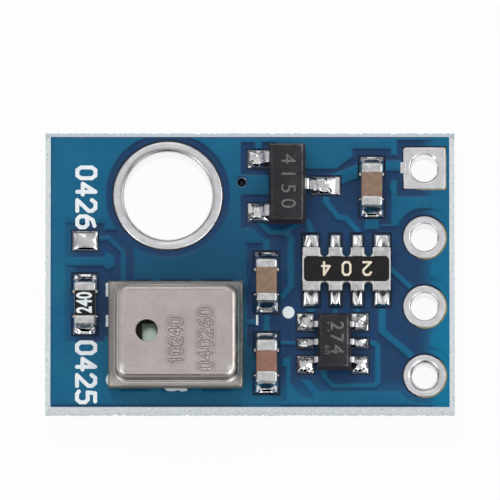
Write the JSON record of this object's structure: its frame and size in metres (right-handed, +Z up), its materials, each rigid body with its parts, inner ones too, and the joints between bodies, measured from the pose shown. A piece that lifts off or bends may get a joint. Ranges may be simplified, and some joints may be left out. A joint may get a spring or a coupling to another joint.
{
  "type": "temperature humidity sensor module",
  "caption": "Small blue circuit board with a metal-can humidity sensor, a large plated mounting hole and a row of plated header holes.",
  "frame": {"origin": "centre of the board's outline at the underside of its plated holes", "axes": "+X along the board towards the header holes, +Y towards the mounting hole's long edge, +Z up out of the populated face"},
  "size_m": [0.015, 0.0104, 0.0032],
  "materials": {
    "glass_fibre": "matte sawn glass fibre edge",
    "solder_mask": "gloss blue",
    "copper": "satin",
    "tin": "satin",
    "solder": "gloss",
    "white_ink": "matte",
    "black_mould": "matte",
    "white_ceramic": "matte",
    "brown_ceramic": "satin",
    "can_steel": "satin",
    "carrier": "matte",
    "silicon": "gloss",
    "gold": "gloss"
  },
  "bodies": {
    "root": {"address_land_solder": "solder", "address_resistor_ceramic": "white_ceramic", "address_resistor_coat": "black_mould", "address_resistor_code": "white_ink", "address_resistor_ends": "tin", "address_resistor_solder": "solder", "array_ceramic": "white_ceramic", "array_coat": "black_mould", "array_code": "white_ink", "array_ends": "tin", "array_solder": "solder", "bond_wires": "gold", "capacitor_1_ceramic": "brown_ceramic", "capacitor_1_ends": "tin", "capacitor_1_solder": "solder", "capacitor_2_ceramic": "brown_ceramic", "capacitor_2_ends": "tin", "capacitor_2_solder": "solder", "capacitor_3_ceramic": "brown_ceramic", "capacitor_3_ends": "tin", "capacitor_3_solder": "solder", "copper_pour_bottom": "copper", "copper_pour_top": "copper", "copper_tracks_top": "copper", "fixing_hole_plating": "tin", "header_pad_1": "tin", "header_pad_2": "tin", "header_pad_3": "tin", "header_pad_4": "tin", "laminate": "glass_fibre", "regulator_body": "black_mould", "regulator_die": "silicon", "regulator_lead_1": "tin", "regulator_lead_2": "tin", "regulator_lead_3": "tin", "regulator_solder": "solder", "sensing_chip": "silicon", "sensor_can": "can_steel", "sensor_carrier": "carrier", "sensor_contacts": "tin", "sensor_solder": "solder", "signal_chip": "silicon", "silkscreen_top": "white_ink", "solder_mask_bottom": "solder_mask", "solder_mask_top": "solder_mask", "soldering_lands": "tin", "transistor_body": "black_mould", "transistor_die": "silicon", "transistor_lead_1": "tin", "transistor_lead_2": "tin", "transistor_lead_3": "tin", "transistor_lead_4": "tin", "transistor_lead_5": "tin", "transistor_lead_6": "tin", "transistor_solder": "solder", "via_plating": "copper"}
  },
  "joints": []
}
